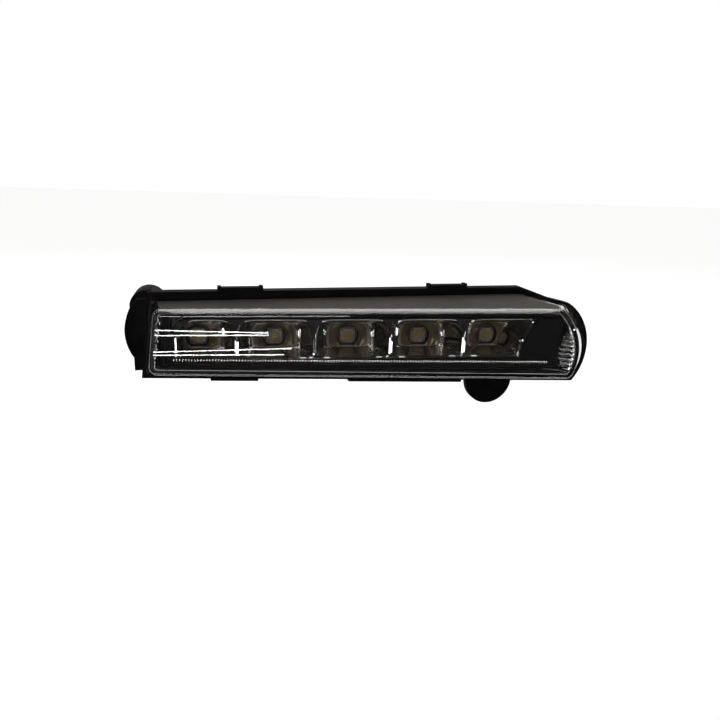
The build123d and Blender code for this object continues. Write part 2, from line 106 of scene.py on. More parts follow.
# links a socket, or sets a plain value
def feed(tree, given, socket):
    if isinstance(given, bpy.types.NodeSocket):
        tree.links.new(given, socket)
    else:
        socket.default_value = given


noiseDetail = {"tone": 4.0, "grain": 3.0}
toneEnds = (0.3, 0.7)  # noise values that count as dark and light


# noise on the piece's own coordinates, in features per millimetre
def addNoise(tree, perMm, detail, stretch=(1, 1, 1)):
    coords = tree.nodes.new("ShaderNodeTexCoord")
    mapping = tree.nodes.new("ShaderNodeMapping")
    mapping.inputs["Scale"].default_value = [perMetre * perMm * s for s in stretch]
    noise = tree.nodes.new("ShaderNodeTexNoise")
    noise.inputs["Scale"].default_value = 1.0
    noise.inputs["Detail"].default_value = noiseDetail[detail]
    tree.links.new(coords.outputs["Object"], mapping.inputs["Vector"])
    tree.links.new(mapping.outputs["Vector"], noise.inputs["Vector"])
    return noise.outputs["Fac"]


def addRamp(tree, value, low, high):
    ramp = tree.nodes.new("ShaderNodeValToRGB")
    for element, at, tone in zip(ramp.color_ramp.elements, toneEnds, (low, high)):
        element.position = at
        element.color = (*tone, 1.0)
    tree.links.new(value, ramp.inputs["Fac"])
    return ramp.outputs["Color"]


def addRange(tree, value, toEnds=(0.0, 1.0), fromEnds=(0.0, 1.0), smooth=False):
    spread = tree.nodes.new("ShaderNodeMapRange")
    if smooth:
        spread.interpolation_type = "SMOOTHSTEP"
    spread.inputs["From Min"].default_value, spread.inputs["From Max"].default_value = fromEnds
    spread.inputs["To Min"].default_value, spread.inputs["To Max"].default_value = toEnds
    tree.links.new(value, spread.inputs["Value"])
    return spread.outputs["Result"]


def addMath(tree, operation, *values):
    sums = tree.nodes.new("ShaderNodeMath")
    sums.operation = operation
    for given, socket in zip(values, sums.inputs):
        feed(tree, given, socket)
    return sums.outputs["Value"]


def addMix(tree, kind, share, a, b):
    mix = tree.nodes.new("ShaderNodeMix")
    mix.data_type = kind
    for given, label in ((share, "Factor"), (a, "A"), (b, "B")):
        feed(tree, given, mix.inputs[label])
    return mix.outputs["Result"]


def addShaderMix(tree, share, a, b):
    mix = tree.nodes.new("ShaderNodeMixShader")
    for given, socket in zip((share, a, b), mix.inputs):
        tree.links.new(given, socket)
    return mix.outputs["Shader"]


def addSplit(tree, vector):
    split = tree.nodes.new("ShaderNodeSeparateXYZ")
    tree.links.new(vector, split.inputs["Vector"])
    return split.outputs


def addBump(tree, shader, value, depthMm):
    bump = tree.nodes.new("ShaderNodeBump")
    bump.inputs["Strength"].default_value = 1.0
    bump.inputs["Distance"].default_value = depthMm / perMetre
    tree.links.new(value, bump.inputs["Height"])
    tree.links.new(bump.outputs["Normal"], shader.inputs["Normal"])


# plastic, rubber, board or metal finish from one dictionary of settings
def makeFinish(name, s):
    mat, tree, shader = startFinish(name)
    stretch = s.get("stretch", (1, 1, 1))
    shader.inputs["Metallic"].default_value = s.get("metal", 0.0)
    shader.inputs["Specular IOR Level"].default_value = s.get("shine", 0.5)
    tone = addNoise(tree, s["tonePerMm"], "tone", stretch)
    tree.links.new(addRamp(tree, tone, s["dark"], s["light"]), shader.inputs["Base Color"])
    grain = addNoise(tree, s["grainPerMm"], "grain", stretch)
    tree.links.new(addRange(tree, grain, s["rough"]), shader.inputs["Roughness"])
    addBump(tree, shader, grain, s["grainMm"])
    return mat


finishes = {
    "housing_black": {"dark": (0.0045, 0.0040, 0.0042), "light": (0.0085, 0.0075, 0.0078), "tonePerMm": 0.08,
                      "grainPerMm": 2.4, "rough": (0.45, 0.60), "grainMm": 0.03, "shine": 0.008},
    "bezel_black": {"dark": (0.0026, 0.0023, 0.0025), "light": (0.0046, 0.0040, 0.0041), "tonePerMm": 0.10,
                    "grainPerMm": 1.6, "rough": (0.26, 0.38), "grainMm": 0.008, "shine": 0.03},
    "seal_rubber": {"dark": (0.010, 0.010, 0.010), "light": (0.020, 0.019, 0.019), "tonePerMm": 0.3,
                    "grainPerMm": 2.0, "rough": (0.65, 0.85), "grainMm": 0.02, "shine": 0.3},
    "board_mask": {"dark": (0.008, 0.007, 0.005), "light": (0.014, 0.012, 0.009), "tonePerMm": 0.2,
                   "grainPerMm": 1.2, "rough": (0.35, 0.5), "grainMm": 0.008},
    "driver_mask": {"dark": (0.010, 0.060, 0.026), "light": (0.016, 0.085, 0.036), "tonePerMm": 0.2,
                    "grainPerMm": 1.2, "rough": (0.35, 0.5), "grainMm": 0.008},
    "spreader_aluminium": {"dark": (0.42, 0.43, 0.44), "light": (0.52, 0.53, 0.54), "tonePerMm": 0.15,
                           "grainPerMm": 1.0, "rough": (0.3, 0.45), "grainMm": 0.004, "metal": 1.0,
                           "stretch": (0.15, 1, 2)},
    "led_package": {"dark": (0.085, 0.073, 0.062), "light": (0.120, 0.106, 0.090), "tonePerMm": 0.5,
                    "grainPerMm": 3.0, "rough": (0.4, 0.55), "grainMm": 0.006},
    "led_phosphor": {"dark": (0.085, 0.052, 0.010), "light": (0.135, 0.088, 0.020), "tonePerMm": 0.6,
                     "grainPerMm": 5.0, "rough": (0.28, 0.45), "grainMm": 0.012},
    "component_black": {"dark": (0.012, 0.012, 0.013), "light": (0.020, 0.020, 0.021), "tonePerMm": 0.3,
                        "grainPerMm": 2.5, "rough": (0.5, 0.65), "grainMm": 0.01},
    "capacitor_can": {"dark": (0.36, 0.37, 0.39), "light": (0.46, 0.47, 0.49), "tonePerMm": 0.3, "metal": 1.0,
                      "grainPerMm": 1.5, "rough": (0.2, 0.32), "grainMm": 0.003, "stretch": (1, 0.1, 1)},
    "pin_tin": {"dark": (0.50, 0.50, 0.50), "light": (0.62, 0.62, 0.62), "tonePerMm": 0.6, "metal": 1.0,
                "grainPerMm": 2.5, "rough": (0.2, 0.35), "grainMm": 0.003, "stretch": (1, 0.2, 1)},
}
finish = {name: makeFinish(name, s) for name, s in finishes.items()}

# metallised bowls: bright front face, duller walls and shelves; a painted warm reflection of the LED phosphor on
# the floors, a painted brown reflection on the shelves facing up, and painted shade that darkens the metal round
# the LEDs
bowlFinish = {
    "face": (0.86, 0.85, 0.84), "faceFrom": (-0.0275, -0.0270), "front": (0.40, 0.40, 0.40),
    # back is a painted reflection: the warm olive of the LED phosphor put into the floors' colour, half metal so
    # it shows
    "back": (0.088, 0.068, 0.038), "paintedPhosphorSheenFrom": (-0.0119, -0.0113),
    # shelf is a painted reflection: a browner metal tone given to the faces that point up
    "paintedShelfSheen": (0.36, 0.32, 0.26), "shelfFrom": (0.75, 0.9),
    # deep is painted shade: the steps round each LED hole are made nearly black
    "deep": (0.012, 0.011, 0.010), "paintedShadeFrom": (-0.0099, -0.0096), "dim": (0.08, 0.08, 0.08),
    "hazePerMm": 0.15, "rough": (0.01, 0.04), "shelfRough": 0.22, "floorRough": 0.08, "floorMetal": 0.55,
}


def makeBowlFinish(s):
    mat, tree, shader = startFinish("reflector_metal")
    coords = tree.nodes.new("ShaderNodeTexCoord")
    depth = addSplit(tree, coords.outputs["Object"])["Y"]
    upward = addSplit(tree, coords.outputs["Normal"])["Z"]
    inside = addRange(tree, depth, fromEnds=s["faceFrom"])
    # floors: painted warm reflection of the LED phosphor
    paintedPhosphorSheen = addRange(tree, depth, fromEnds=s["paintedPhosphorSheenFrom"])
    # faces pointing up take the painted brown reflection and a duller roughness
    paintedShelfSheen = addRange(tree, upward, fromEnds=s["shelfFrom"])
    # painted shade: the metal deepest round each LED is made nearly black
    deep = addRange(tree, depth, fromEnds=s["paintedShadeFrom"])
    tone = addMix(tree, "RGBA", inside, (*s["face"], 1.0), (*s["front"], 1.0))
    tone.node.name = "frontTone"
    for share, colour in ((paintedPhosphorSheen, s["back"]), (paintedShelfSheen, s["paintedShelfSheen"]), (deep, s["deep"])):
        tone = addMix(tree, "RGBA", share, tone, (*colour, 1.0))
    tree.links.new(tone, shader.inputs["Base Color"])
    rough = addRange(tree, addNoise(tree, s["hazePerMm"], "grain"), s["rough"])
    for share, dull in ((paintedShelfSheen, s["shelfRough"]), (paintedPhosphorSheen, s["floorRough"])):
        rough = addMix(tree, "FLOAT", share, rough, dull)
    tree.links.new(rough, shader.inputs["Roughness"])
    tree.links.new(addRange(tree, paintedPhosphorSheen, (1.0, s["floorMetal"])), shader.inputs["Metallic"])
    return mat


finish["reflector_metal"] = makeBowlFinish(bowlFinish)
finish["reflector_dim"] = finish["reflector_metal"].copy()  # thinner metal in the fluted recess
finish["reflector_dim"].name = "reflector_dim"
finish["reflector_dim"].node_tree.nodes["frontTone"].inputs["B"].default_value = (*bowlFinish["dim"], 1.0)

# clear lens: glass that lets the lamps through to what is behind it, with a frosted top wall that also carries a
# painted sheen, a diffuse grey standing in for the ceiling's reflection
lensFinish = {
    "ior": 1.56, "rough": (0.0, 0.006), "grainPerMm": 0.25, "tint": (0.95, 0.95, 0.95),
    "shade": (0.9, 0.9, 0.9),
    # frost roughens the top wall; the painted sheen is a diffuse grey on its faces that point up, in place of
    # the ceiling's reflection
    "frost": 0.30, "frostFrom": (0.98, 0.995), "topWallPaintedSheen": (0.046, 0.0411, 0.0376), "topWallPaintedShare": 0.92,
}


def makeLensFinish(s):
    mat, tree, shader = startFinish("lens_clear")
    shader.inputs["Base Color"].default_value = (*s["tint"], 1.0)
    shader.inputs["Transmission Weight"].default_value = 1.0
    shader.inputs["IOR"].default_value = s["ior"]
    coords = tree.nodes.new("ShaderNodeTexCoord")
    level = addMath(tree, "ABSOLUTE", addSplit(tree, coords.outputs["Normal"])["Z"])
    frost = addRange(tree, level, (0.0, s["frost"]), s["frostFrom"])  # on both faces of the top wall
    haze = addRange(tree, addNoise(tree, s["grainPerMm"], "tone"), s["rough"])
    tree.links.new(addMath(tree, "MAXIMUM", haze, frost), shader.inputs["Roughness"])
    # painted sheen: diffuse grey on the top wall instead of its reflection of the ceiling
    paintedTopSheen = tree.nodes.new("ShaderNodeBsdfDiffuse")
    paintedTopSheen.inputs["Color"].default_value = (*s["topWallPaintedSheen"], 1.0)
    paintedTopSheenShare = addRange(tree, frost, (0.0, s["topWallPaintedShare"]), (0.0, s["frost"]))
    wall = addShaderMix(tree, paintedTopSheenShare, shader.outputs["BSDF"], paintedTopSheen.outputs["BSDF"])
    clear = tree.nodes.new("ShaderNodeBsdfTransparent")
    clear.inputs["Color"].default_value = (*s["shade"], 1.0)
    paths = tree.nodes.new("ShaderNodeLightPath")
    either = addShaderMix(tree, paths.outputs["Is Shadow Ray"], wall, clear.outputs["BSDF"])
    tree.links.new(either, tree.nodes["Material Output"].inputs["Surface"])
    return mat


finish["lens_clear"] = makeLensFinish(lensFinish)
print("finishes made:", len(finish))


# mesh helpers
def addPiece(name, mesh, slotName):
    mesh.materials.clear()
    mesh.materials.append(finish[slotName])
    return addObject(name, mesh)


def settle(piece, slotName, *replaced):
    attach(piece, "root")
    if replaced:
        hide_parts(*replaced)


def smoothMesh(mesh, sharpDegrees):
    mesh.polygons.foreach_set("use_smooth", [True] * len(mesh.polygons))
    mesh.set_sharp_from_angle(angle=math.radians(sharpDegrees))
    mesh.update()


# rings of points (lists of equal length) joined by quads, with flat caps where asked
def ringMesh(name, rings, capFirst=False, capLast=False, wrap=True):
    count = len(rings[0])
    faces = []
    for r in range(len(rings) - 1):
        for k in range(count if wrap else count - 1):
            after = (k + 1) % count
            faces.append((r * count + k, r * count + after, (r + 1) * count + after, (r + 1) * count + k))
    if capFirst:
        faces.append(tuple(range(count))[::-1])
    if capLast:
        faces.append(tuple(range((len(rings) - 1) * count, len(rings) * count)))
    mesh = bpy.data.meshes.new(name)
    mesh.from_pydata([tuple(p) for ring in rings for p in ring], [], faces)
    mesh.validate()
    return mesh


def outwardFaces(mesh, mergeMm=0.001):
    bm = bmesh.new()
    bm.from_mesh(mesh)
    bmesh.ops.remove_doubles(bm, verts=bm.verts, dist=mergeMm / perMetre)
    bmesh.ops.recalc_face_normals(bm, faces=bm.faces)
    bm.to_mesh(mesh)
    bm.free()


def meshFrom(bm, name):
    mesh = bpy.data.meshes.new(name)
    bm.to_mesh(mesh)
    bm.free()
    return mesh


# works a piece's modifiers into its mesh
def bakeModifiers(piece):
    depsgraph = bpy.context.evaluated_depsgraph_get()
    done = bpy.data.meshes.new_from_object(piece.evaluated_get(depsgraph))
    piece.modifiers.clear()
    piece.data = done
    return done


def addSheet(piece, thickMm, offset):
    sheet = piece.modifiers.new("sheet", "SOLIDIFY")
    sheet.thickness = thickMm / perMetre
    sheet.offset = offset
    return bakeModifiers(piece)


# lens outline
lensForm = {
    "top": 17.8, "topDraft": 0.035, "left": -86.0, "leftLean": 0.114, "leftDraft": 0.206,
    "bottom": -12.9, "bottomFall": 0.028, "bottomDraft": 0.33,
    "arcX": 72.0, "arcZ": -1.0, "arcR": 28.5, "arcRun": 0.64, "arcDrop": 0.225,
    "shoulderX": 99.0, "shoulderFall": 0.234, "shoulderDraft": 0.077,
    "rimDepth": 20.0, "rimSweep": 5.0, "far": 25.0, "wall": 2.5, "cornerR": 3.6, "tongue": 2.0,
    "topEdgeR": 2.2, "sideEdgeR": 1.0, "rightEdgeR": 0.45, "edgeFade": 7.0, "edgeSteps": 11, "frontLand": 0.5,
    "leftInnerR": 0.55, "topInnerR": 0.12, "sideInnerR": 0.15, "innerTilt": 0.0015, "innerLand": 1.3,
    "flutes": 11, "leftFlutes": 6, "leftBite": 1.0, "rightBite": 0.6,
    "fluteEnd": 0.93, "fluteGrow": 0.3, "fluteFade": 14.0,
    "linePoints": 64, "cornerPoints": 7, "endPoints": 198, "endTurn": 88, "endSamples": 1601, "endBlur": 4,
    "outerRows": (0.03, 0.25, 0.5, 0.75, 0.97, 1.0), "innerRows": (1.0, 0.97, 0.93, 0.7, 0.5, 0.3, 0.12, 0.0),
    "innerTurns": (72, 54, 36, 18, 0), "cornerTries": 6, "offMark": -1.0, "leftMark": 2.0,
    "mergeMm": 0.0005, "sharp": 38,
}
rimSlope = math.tan(math.radians(lensForm["rimSweep"]))
topTilt = math.hypot(1.0, lensForm["topDraft"])
bottomTilt = math.hypot(1.0, lensForm["bottomDraft"], lensForm["bottomFall"])
leftTilt = math.hypot(1.0, lensForm["leftDraft"], lensForm["leftLean"])
shoulderTilt = math.hypot(1.0, lensForm["shoulderFall"], lensForm["shoulderDraft"])


# round end of the lens: slanted cylinder cut at a depth, with its outward normals
def roundEnd(angles, depth, grow):
    f = lensForm
    axis = np.array([f["arcRun"], 1.0, -f["arcDrop"]])
    axis /= np.linalg.norm(axis)
    across = np.array([1.0, 0, 0]) - axis[0] * axis
    across /= np.linalg.norm(across)
    down = np.cross(axis, across)
    spots = np.array([f["arcX"], 0, f["arcZ"]]) + (f["arcR"] + grow) * (
        np.cos(angles)[:, None] * across + np.sin(angles)[:, None] * down)
    spots += ((depth - spots[:, 1]) / axis[1])[:, None] * axis
    flat = spots[:, [0, 2]]
    along = np.gradient(flat, axis=0)
    normals = np.stack([-along[:, 1], along[:, 0]], axis=1)
    return flat, normals / np.linalg.norm(normals, axis=1)[:, None]


# height of the shoulder that falls to the round end
def shoulderZ(x, depth, grow):
    f = lensForm
    return (f["top"] - f["shoulderFall"] * (x - f["shoulderX"]) - f["shoulderDraft"] * depth
            + grow * shoulderTilt)


# closed outline at a depth, moved outwards by grow, corners rounded; also its normals, how far along an end
# each point is (left end counted from its mark) and how far it is from the ends of the top line
def lensLoop(depth, grow, radius):
    f = lensForm
    zTop = f["top"] + f["topDraft"] * depth + grow * topTilt - radius
    low = f["bottom"] - f["bottomDraft"] * depth - grow * bottomTilt + radius
    side = f["left"] - f["leftDraft"] * depth - grow * leftTilt + radius
    angles = np.radians(np.linspace(-f["endTurn"], f["endTurn"], f["endSamples"]))
    arc, arcNormals = roundEnd(angles, depth, grow)
    inner = arc - radius * arcNormals
    high = np.interp(0, zTop - inner[:, 1], angles)
    deep = np.interp(0, low - inner[:, 1] - f["bottomFall"] * inner[:, 0], angles)

    def atAngle(at, values):
        return np.stack([np.interp(at, angles, values[:, i]) for i in (0, 1)], axis=-1)

    cornerHigh = np.array([np.interp(high, angles, inner[:, 0]), zTop])
    cornerDeep = atAngle(deep, inner)
    cornerLow = np.array([0.0, low])
    for _ in range(f["cornerTries"]):
        cornerLow = np.array([side + f["leftLean"] * cornerLow[1], low - f["bottomFall"] * cornerLow[0]])
    cornerTop = np.array([side + f["leftLean"] * zTop, zTop])
    up = np.array([0.0, 1.0])
    down = np.array([-f["bottomFall"], -1.0])
    down = down / np.linalg.norm(down)
    left = np.array([-1.0, f["leftLean"]])
    left = left / np.linalg.norm(left)
    spots, normals, ends, tops = [], [], [], []

    def line(start, end, normal, count, endFrom=None, isTop=False):
        share = np.arange(count) / count
        spots.append(start + (end - start) * share[:, None] + radius * normal)
        normals.append(np.tile(normal, (count, 1)))
        ends.append(np.full(count, f["offMark"]) if endFrom is None else endFrom + share)
        tops.append(np.minimum(share, 1 - share) * np.linalg.norm(end - start) if isTop else np.zeros(count))

    def corner(centre, first, last):
        count = f["cornerPoints"]
        turn = math.acos(max(-1.0, min(1.0, float(first @ last))))
        share = np.arange(count)[:, None] / count
        turned = (np.sin((1 - share) * turn) * first + np.sin(share * turn) * last) / math.sin(turn)
        spots.append(centre + radius * turned)
        normals.append(turned)
        ends.append(np.full(count, f["offMark"]))
        tops.append(np.zeros(count))

    line(cornerTop, cornerHigh, up, f["linePoints"], isTop=True)
    corner(cornerHigh, up, atAngle(high, arcNormals))
    share = np.arange(f["endPoints"]) / f["endPoints"]
    turned = high + (deep - high) * share
    spots.append(atAngle(turned, arc))
    normals.append(atAngle(turned, arcNormals))
    ends.append(share)
    tops.append(np.zeros(len(share)))
    corner(cornerDeep, atAngle(deep, arcNormals), down)
    line(cornerDeep, cornerLow, down, f["linePoints"])
    corner(cornerLow, down, left)
    line(cornerLow, cornerTop, left, f["endPoints"], endFrom=f["leftMark"])
    corner(cornerTop, left, up)
    return [np.concatenate(values) for values in (spots, normals, ends, tops)]


# ring of the lens at a depth, set in from the outline; depth and inset are one number or one per point;
# bites are the depths of the flutes on the right and left end
def lensRing(depth, grow, radius, inset=0.0, bites=(0.0, 0.0)):
    f = lensForm
    near, normals, ends, _ = lensLoop(0.0, grow, radius)
    far = lensLoop(f["far"], grow, radius)[0]
    depth = np.broadcast_to(depth, len(near))
    flat = near + (far - near) * (depth[:, None] / f["far"])
    onLeft = ends >= f["leftMark"]
    share = np.where(onLeft, ends - f["leftMark"], ends)
    bite = np.where(onLeft, bites[1], bites[0])
    count = np.where(onLeft, f["leftFlutes"], f["flutes"])
    fluted = np.where(ends >= 0, 1.0 - np.abs(np.sin(np.pi * count * share)), 0.0)
    fade = np.clip(np.minimum(share, 1 - share) * f["fluteFade"], 0, 1)
    flat = flat + normals * (bite * fluted * fade - inset)[:, None]
    ceiling = shoulderZ(flat[:, 0], depth, grow - inset)
    return toFrame(flat[:, 0], np.minimum(flat[:, 1], ceiling), depth)


def rimDepths(grow, radius):
    near = lensLoop(0.0, grow, radius)[0][:, 0]
    far = lensLoop(lensForm["far"], grow, radius)[0][:, 0]
    return (lensForm["rimDepth"] + rimSlope * near) / (1 - rimSlope * (far - near) / lensForm["far"])


# outer lens: rings from the middle of the front round the edge, back to the tongue and forward again inside
def buildLens():
    f = lensForm
    _, _, ends, tops = lensLoop(0.0, 0.0, f["cornerR"])
    tops = np.clip(tops / f["edgeFade"], 0, 1)
    tops = tops * tops * (3 - 2 * tops)

    # 1 along one end, fading over a few points past it
    def endShare(isEnd):
        blur = range(-f["endBlur"], f["endBlur"] + 1)
        return np.mean([np.roll(isEnd.astype(float), k) for k in blur], axis=0)

    onRight = endShare((ends >= 0) & (ends < f["leftMark"]))
    onLeft = endShare(ends >= f["leftMark"])
    edgeR = (f["sideEdgeR"] + (f["topEdgeR"] - f["sideEdgeR"]) * tops
             + (f["rightEdgeR"] - f["sideEdgeR"]) * onRight)
    innerR = (f["sideInnerR"] + (f["topInnerR"] - f["sideInnerR"]) * tops
              + (f["leftInnerR"] - f["sideInnerR"]) * onLeft)
    rings = [lensRing(0.0, 0.0, f["cornerR"], edgeR + f["frontLand"])]
    for turn in np.radians(np.linspace(0, 90, f["edgeSteps"])):
        rings.append(lensRing(edgeR * (1 - math.cos(turn)), 0.0, f["cornerR"], edgeR * (1 - math.sin(turn))))
    outerRim = rimDepths(0.0, f["cornerR"])
    for share in f["outerRows"]:
        rings.append(lensRing(edgeR + share * (outerRim - edgeR), 0.0, f["cornerR"]))
    rings.append(lensRing(outerRim + f["tongue"], 0.0, f["cornerR"]))
    cornerR = f["cornerR"] - f["wall"]
    innerRim = rimDepths(-f["wall"], cornerR)
    start = f["wall"] + innerR
    rings.append(lensRing(innerRim + f["tongue"], -f["wall"], cornerR))
    for share in f["innerRows"]:
        grown = min(1.0, share / f["fluteGrow"])
        bites = (f["rightBite"] * grown, f["leftBite"]) if share < f["fluteEnd"] else (0.0, 0.0)
        rings.append(lensRing(start + share * (innerRim - start), -f["wall"], cornerR, 0.0, bites))
    for turn in np.radians(f["innerTurns"]):
        rings.append(lensRing(f["wall"] + innerR * (1 - math.cos(turn)), -f["wall"], cornerR,
                              innerR * (1 - math.sin(turn)), (0.0, f["leftBite"])))
    rings.append(lensRing(f["wall"], -f["wall"], cornerR, innerR + f["innerLand"]))
    for ring in rings[-len(f["innerTurns"]) - 1:]:  # the inside of the front leans a little
        ring[:, 1] += f["innerTilt"] * (ring[:, 2] - lampShift["z"] / perMetre)
    mesh = ringMesh("outerLens", rings, capFirst=True, capLast=True)
    outwardFaces(mesh, f["mergeMm"])
    smoothMesh(mesh, f["sharp"])
    piece = addPiece("outerLens", mesh, "lens_clear")
    settle(piece, "lens_clear", "outer_lens")


buildLens()
print("lens built")

# reflector with five bowls
bowlForm = {
    "count": 5, "pitch": 34.0, "front": 6.0, "floor": 21.5, "holeEnd": 23.9, "top": 12.2, "bottom": -5.3,
    "half": 16.5, "cornerWidth": 3.0, "cornerDrop": 3.8, "firstLeft": 8.2, "firstCorner": (6.0, 5.0),
    "firstLean": 0.3, "firstLand": 1.0, "lastRight": 9.6, "plateTop": 13.2, "plateBottom": -6.3,
    "lead": 0.122, "curl": 0.01375, "round": 14.0, "dish": 1.5, "ripple": 0.16, "sheet": 0.45,
    "finSpread": 6.6, "finCurve": 1.6, "finDraft": 0.27, "finLand": (0.8, 1.3), "finLandFrom": 0.3,
    "finGuess": 10.0, "finFacing": 0.05, "finTries": 60, "finLeast": 0.5, "landLeast": 0.3,
    "bead": ((0.24, 0.0), (0.2, 0.14), (0.12, 0.2), (0.04, 0.14), (0.0, 0.0)), "beadShare": 0.8,
    "steps": ((6.9, 21.5), (6.75, 21.65), (6.25, 22.05), (6.1, 22.15),
              (5.75, 22.2), (5.6, 22.35), (5.2, 22.9), (5.1, 23.0)),
    "mouthDepth": 0.25, "holeGap": 0.25, "stepGap": 0.05, "endless": 1e6, "facingLeast": 1e-6,
    "directions": 144, "wallRings": 18, "floorRings": 13, "mergeMm": 0.02, "sharp": 40,
}


def bowlX(index):
    return (index - (bowlForm["count"] - 1) / 2) * bowlForm["pitch"]


# 0 at the bottom of the bowls, 1 at their top
def bowlHeight(z):
    f = bowlForm
    return np.clip((z - f["bottom"]) / (f["top"] - f["bottom"]), 0, 1)


# right edge of the last bowl: a fin that flares outwards to its top
def finLine(z, depth):
    f = bowlForm
    flare = f["finSpread"] * bowlHeight(z) ** f["finCurve"]
    return f["lastRight"] + flare - f["finDraft"] * (depth - f["front"])


# distance from the LED axis to the bowl wall in each direction, a depth behind the lens front
def bowlReach(index, angles, depth):
    f = bowlForm
    run = depth - f["front"]
    inset = f["lead"] * run + f["curl"] * run * run
    first, last = index == 0, index == f["count"] - 1
    leftAt = f["firstLeft"] if first else f["half"]
    leftWide, leftDrop = f["firstCorner"] if first else (f["cornerWidth"], f["cornerDrop"])
    walls = [((-1.0, 0.0), leftAt - (f["firstLean"] * inset if first else inset)),
             ((0.0, 1.0), f["top"] - inset), ((0.0, -1.0), -f["bottom"])]
    corners = [(-1, leftAt, leftWide, leftDrop)]
    if not last:
        walls.append(((1.0, 0.0), f["half"] - inset))
        corners.append((1, f["half"], f["cornerWidth"], f["cornerDrop"]))
    for side, reach, wide, drop in corners:
        length = math.hypot(wide, drop)
        normal = (side * drop / length, wide / length)
        walls.append((normal, normal[0] * side * reach + normal[1] * (f["top"] - drop) - inset))
    total = np.zeros(len(angles))
    for normal, reach in walls:
        facing = np.cos(angles) * normal[0] + np.sin(angles) * normal[1]
        total += np.clip(facing / reach, 0, None) ** f["round"]
    if last:
        far = np.full(len(angles), f["finGuess"])
        right = np.cos(angles) > f["finFacing"]
        for _ in range(f["finTries"]):
            z = np.where(right, far * np.sin(angles), 0)
            reach = finLine(z, depth) / np.maximum(np.cos(angles), f["finFacing"])
            far = 0.5 * far + 0.5 * np.where(right, reach, f["finGuess"])
        total += np.where(right, (1.0 / np.maximum(far, f["finLeast"])) ** f["round"], 0.0)
    return total ** (-1.0 / f["round"])


# edge of a bowl's share of the front plate
def cellReach(index, angles):
    f = bowlForm
    first, last = index == 0, index == f["count"] - 1
    reach = np.full(len(angles), f["endless"])
    sides = (((-1, 0), f["firstLeft"] + f["firstLand"] if first else f["pitch"] / 2), ((0, 1), f["plateTop"]),
             ((0, -1), -f["plateBottom"]), ((1, 0), f["endless"] if last else f["pitch"] / 2))
    for normal, at in sides:
        facing = np.cos(angles) * normal[0] + np.sin(angles) * normal[1]
        inside = np.minimum(reach, at / np.maximum(facing, f["facingLeast"]))
        reach = np.where(facing > f["facingLeast"], inside, reach)
    if last:
        low, high = f["finLand"]
        mouth = bowlReach(index, angles, f["front"])
        land = low + high * np.clip(np.sin(angles) + f["finLandFrom"], 0, 1)
        reach = np.where(np.cos(angles) > f["finFacing"], np.minimum(reach, mouth + land), reach)
        reach = np.maximum(reach, mouth + f["landLeast"])
    return reach


def buildBowl(index):
    f = bowlForm
    angles = math.pi / 2 + 2 * math.pi * np.arange(f["directions"]) / f["directions"]
    rings = []

    def ring(reach, depth):
        rings.append(circle(bowlX(index), 0.0, reach, angles, depth))

    cell = cellReach(index, angles)
    mouth = bowlReach(index, angles, f["front"])
    ring(cell, f["front"])
    for out, rise in f["bead"]:
        ring(mouth + np.minimum(out, (cell - mouth) * f["beadShare"]), f["front"] - rise)
    start, lowest = f["front"] + f["mouthDepth"], f["floor"] - f["dish"]
    for step in range(f["wallRings"]):
        depth = start + (lowest - start) * step / (f["wallRings"] - 1)
        ring(bowlReach(index, angles, depth), depth)
    wide = bowlReach(index, angles, lowest)
    hole = np.minimum(f["steps"][0][0], wide - f["holeGap"])
    for step in range(1, f["floorRings"]):
        share = step / f["floorRings"]
        sink = f["dish"] * (1 - share) ** 2
        ring(wide + (hole - wide) * share, f["floor"] - sink - f["ripple"] * (step // 2 % 2))
    for step, (radius, depth) in enumerate((*f["steps"], (f["steps"][-1][0], f["holeEnd"]))):
        ring(np.minimum(radius, wide - f["holeGap"] - f["stepGap"] * step), depth)
    return ringMesh("bowl", rings)


def buildReflector():
    f = bowlForm
    bm = bmesh.new()
    for index in range(f["count"]):
        bm.from_mesh(buildBowl(index))
    bmesh.ops.remove_doubles(bm, verts=bm.verts, dist=f["mergeMm"] / perMetre)
    piece = addPiece("bowlReflector", meshFrom(bm, "bowlReflector"), "reflector_metal")
    smoothMesh(addSheet(piece, f["sheet"], 1.0), f["sharp"])
    settle(piece, "reflector_metal", "reflector")
    return piece


reflector = buildReflector()
print("reflector built:", len(reflector.data.polygons), "faces")

# inner bezel
bezelForm = {
    "front": 4.5, "inset": 3.2, "wall": 1.0, "edgeR": 0.8, "edgeTurns": (30, 60, 90), "leftSet": 5.3,
    "cornerR": 1.2, "cornerLeast": 0.4, "gap": 0.25, "finGap": 0.5, "finOpen": 1.2,
    "windowEdge": 0.15, "windowBack": 0.05, "windowMiddle": 3.0, "cornerPoints": 9, "finPoints": 25, "sharp": 35,
}
# right edge of the black panel, where the fluted recess at the round end begins
panelEdge = {
    "z": (-14.0, -12.6, -10.8, -8.3, -5.8, -0.4, 6.9, 12.6, 16.0),
    "x": (101.5, 99.6, 98.2, 97.6, 97.4, 97.6, 98.0, 98.7, 99.5),
}


def panelRight(z):
    return np.interp(z, panelEdge["z"], panelEdge["x"])


def windowLoop(depth):
    f, b = bowlForm, bezelForm
    left = bowlX(0) - f["firstLeft"] - b["gap"]
    wide, drop = f["firstCorner"]
    spots = [(left, f["bottom"] - b["gap"]), (left, f["top"] - drop)]
    for turn in np.radians(np.linspace(0, 90, b["cornerPoints"])):
        spots.append((left + wide * (1 - math.cos(turn)),
                      f["top"] - drop + (drop + b["gap"]) * math.sin(turn)))
    for z in np.linspace(f["top"] + b["gap"], f["bottom"] - b["gap"], b["finPoints"]):
        fin = bowlX(f["count"] - 1) + float(finLine(z, f["front"]))
        spots.append((fin + b["finGap"] + b["finOpen"] * float(bowlHeight(z)), z))
    spots = np.array(spots)
    return toFrame(spots[:, 0], spots[:, 1], depth)


